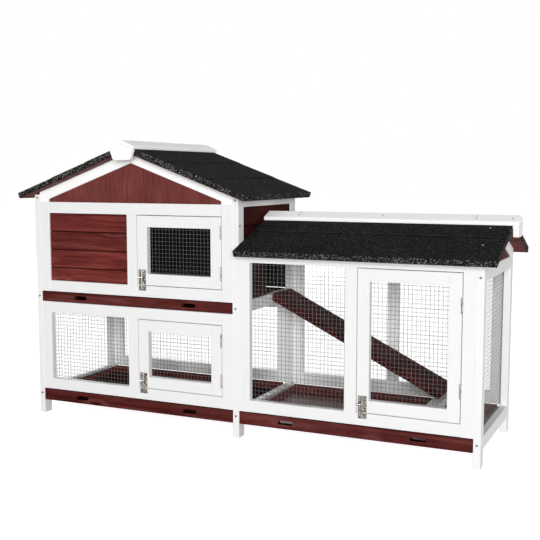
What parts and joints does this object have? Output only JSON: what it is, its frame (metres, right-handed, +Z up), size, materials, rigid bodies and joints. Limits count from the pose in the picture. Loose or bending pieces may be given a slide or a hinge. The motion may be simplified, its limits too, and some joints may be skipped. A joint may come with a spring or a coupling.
{
  "type": "rabbit hutch",
  "caption": "Two-storey wooden rabbit hutch with a covered mesh run, hinged mesh doors with slide bolts, pull-out floor trays, a ramp and felted pitched roofs.",
  "frame": {"origin": "on the ground, at the middle of the overall box", "axes": "+X along the front from the house to the run, -Y out of the front, +Z up"},
  "size_m": [1.529, 0.5346, 0.8785],
  "materials": {
    "white_timber": "white painted softwood",
    "red_boards": "red-brown stained softwood",
    "tray_boards": "dark red-brown stained softwood",
    "ramp_board": "dark red-brown stained softwood",
    "roof_boards": "red-brown stained board",
    "bare_wood": "bare softwood",
    "roof_felt": "mineral-faced roofing felt",
    "galvanised_wire": "galvanised",
    "hinge_metal": "zinc plated",
    "bolt_metal": "nickel plated",
    "screw_metal": "zinc plated"
  },
  "bodies": {
    "hutch": {"bolt_keepers": "bolt_metal", "frame_screws": "screw_metal", "gable_panels": "red_boards", "gable_rafters": "white_timber", "hinge_frame_leaves": "hinge_metal", "hinge_pins": "hinge_metal", "house_left_frame": "white_timber", "house_left_mesh": "galvanised_wire", "house_left_planks": "red_boards", "house_ridge_cap": "white_timber", "house_ridge_plates": "white_timber", "house_right_frame": "white_timber", "house_right_planks": "red_boards", "house_roof_boards": "roof_boards", "house_roof_felt": "roof_felt", "lower_front_frame": "white_timber", "lower_front_mesh": "galvanised_wire", "lower_rear_frame": "white_timber", "lower_rear_mesh": "galvanised_wire", "ramp": "ramp_board", "run_cross_rail": "white_timber", "run_front_frame": "white_timber", "run_front_mesh": "galvanised_wire", "run_gable_panel": "red_boards", "run_gable_rafters": "white_timber", "run_rear_frame": "white_timber", "run_rear_mesh": "galvanised_wire", "run_ridge_cap": "white_timber", "run_ridge_plate": "white_timber", "run_roof_boards": "roof_boards", "run_roof_felt": "roof_felt", "run_side_frame": "white_timber", "run_side_mesh": "galvanised_wire", "tray_runners": "bare_wood", "upper_front_frame": "white_timber", "upper_front_planks": "red_boards", "upper_rear_frame": "white_timber", "upper_rear_planks": "red_boards"},
    "upper_door": {"upper_door_frame": "white_timber", "upper_door_mesh": "galvanised_wire", "upper_door_hinge_leaves": "hinge_metal", "upper_door_bolt_plate": "bolt_metal"},
    "upper_bolt": {"upper_door_bolt": "bolt_metal"},
    "lower_door": {"lower_door_frame": "white_timber", "lower_door_mesh": "galvanised_wire", "lower_door_hinge_leaves": "hinge_metal", "lower_door_bolt_plate": "bolt_metal"},
    "lower_bolt": {"lower_door_bolt": "bolt_metal"},
    "run_door": {"run_door_frame": "white_timber", "run_door_mesh": "galvanised_wire", "run_door_hinge_leaves": "hinge_metal", "run_door_bolt_plate": "bolt_metal"},
    "run_bolt": {"run_door_bolt": "bolt_metal"},
    "upper_tray": {"upper_tray_front": "tray_boards", "upper_tray_pan": "tray_boards"},
    "lower_tray": {"lower_tray_front": "tray_boards", "lower_tray_pan": "tray_boards"},
    "run_tray": {"run_tray_front": "tray_boards", "run_tray_pan": "tray_boards"}
  },
  "joints": [
    {"name": "upper_door_hinge", "type": "hinge", "parent": "hutch", "child": "upper_door", "pos_m": [-0.05381, -0.219, 0.546], "axis": [0, 0, 1], "range_deg": [0, 120]},
    {"name": "lower_door_hinge", "type": "hinge", "parent": "hutch", "child": "lower_door", "pos_m": [-0.05381, -0.219, 0.226], "axis": [0, 0, 1], "range_deg": [0, 170]},
    {"name": "run_door_hinge", "type": "hinge", "parent": "hutch", "child": "run_door", "pos_m": [0.65519, -0.219, 0.3205], "axis": [0, 0, 1], "range_deg": [0, 170]},
    {"name": "upper_bolt_slide", "type": "slide", "parent": "upper_door", "child": "upper_bolt", "axis": [0, 0, -1], "range_m": [0, 0.01]},
    {"name": "lower_bolt_slide", "type": "slide", "parent": "lower_door", "child": "lower_bolt", "axis": [0, 0, -1], "range_m": [0, 0.01]},
    {"name": "run_bolt_slide", "type": "slide", "parent": "run_door", "child": "run_bolt", "axis": [0, 0, -1], "range_m": [0, 0.01]},
    {"name": "upper_tray_slide", "type": "slide", "parent": "hutch", "child": "upper_tray", "axis": [0, -1, 0], "range_m": [0, 0.36]},
    {"name": "lower_tray_slide", "type": "slide", "parent": "hutch", "child": "lower_tray", "axis": [0, -1, 0], "range_m": [0, 0.36]},
    {"name": "run_tray_slide", "type": "slide", "parent": "hutch", "child": "run_tray", "axis": [0, -1, 0], "range_m": [0, 0.36]}
  ]
}
